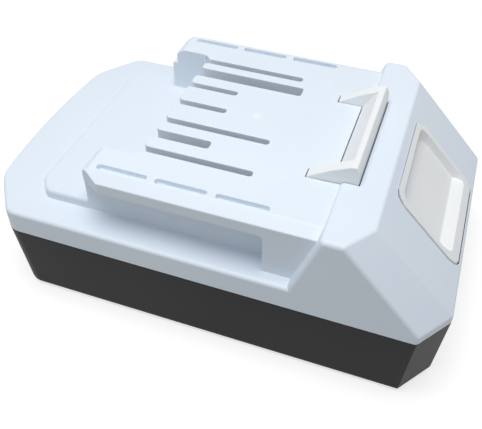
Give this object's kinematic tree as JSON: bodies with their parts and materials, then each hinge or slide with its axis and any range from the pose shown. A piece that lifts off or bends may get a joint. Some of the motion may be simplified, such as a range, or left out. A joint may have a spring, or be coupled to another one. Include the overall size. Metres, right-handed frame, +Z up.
{
  "type": "power tool battery",
  "caption": "Slide-on battery pack with a white upper shell, dark lower shell, side rails, slotted contact platform and a press-down release latch.",
  "frame": {"origin": "below the middle of the pack, on the plane that it rests on", "axes": "+X towards the release button, -X towards the end that enters the tool, +Y across the pack, +Z up"},
  "size_m": [0.1192, 0.0766, 0.0495],
  "materials": {
    "white_plastic": "satin moulded white",
    "latch_plastic": "satin moulded warm white",
    "dark_plastic": "fine-textured charcoal",
    "spring_steel": "drawn wire",
    "cell_can": "shrink sleeve over a steel can",
    "holder_plastic": "moulded",
    "nickel": "rolled strip",
    "board_laminate": "solder resist",
    "insulation_paper": "pressed sheet",
    "chip_resin": "moulded resin",
    "resistor_metal": "plain",
    "capacitor_ceramic": "fired",
    "block_plastic": "moulded",
    "contact_metal": "plated spring leaf",
    "foam": "closed-cell foam",
    "sensor_resin": "dipped bead",
    "screw_steel": "blackened"
  },
  "bodies": {
    "case": {"lower_shell": "dark_plastic", "upper_shell": "white_plastic", "latch_spring_left": "spring_steel", "latch_spring_right": "spring_steel", "cell_1": "cell_can", "cell_2": "cell_can", "cell_3": "cell_can", "cell_4": "cell_can", "cell_5": "cell_can", "cell_holder_left": "holder_plastic", "cell_holder_right": "holder_plastic", "negative_strip": "nickel", "link_strip_2": "nickel", "link_strip_4": "nickel", "link_strip_1": "nickel", "link_strip_3": "nickel", "positive_strip": "nickel", "circuit_board": "board_laminate", "insulation_sheet": "insulation_paper", "control_chip": "chip_resin", "sense_resistor": "resistor_metal", "board_capacitors": "capacitor_ceramic", "power_transistors": "chip_resin", "terminal_block": "block_plastic", "signal_1_terminal": "contact_metal", "positive_terminal": "contact_metal", "signal_2_terminal": "contact_metal", "signal_3_terminal": "contact_metal", "signal_4_terminal": "contact_metal", "negative_terminal": "contact_metal", "signal_5_terminal": "contact_metal", "foam_pad": "foam", "temperature_sensor": "sensor_resin", "case_screws": "screw_steel"},
    "latch": {"release_latch": "latch_plastic"}
  },
  "joints": [
    {"name": "latch_press", "type": "slide", "parent": "case", "child": "latch", "axis": [0, 0, -1], "range_m": [0, 0.0056], "stiffness_N_per_m": 600, "springref_m": -0.005, "deforming": ["latch_spring_left", "latch_spring_right"]}
  ]
}
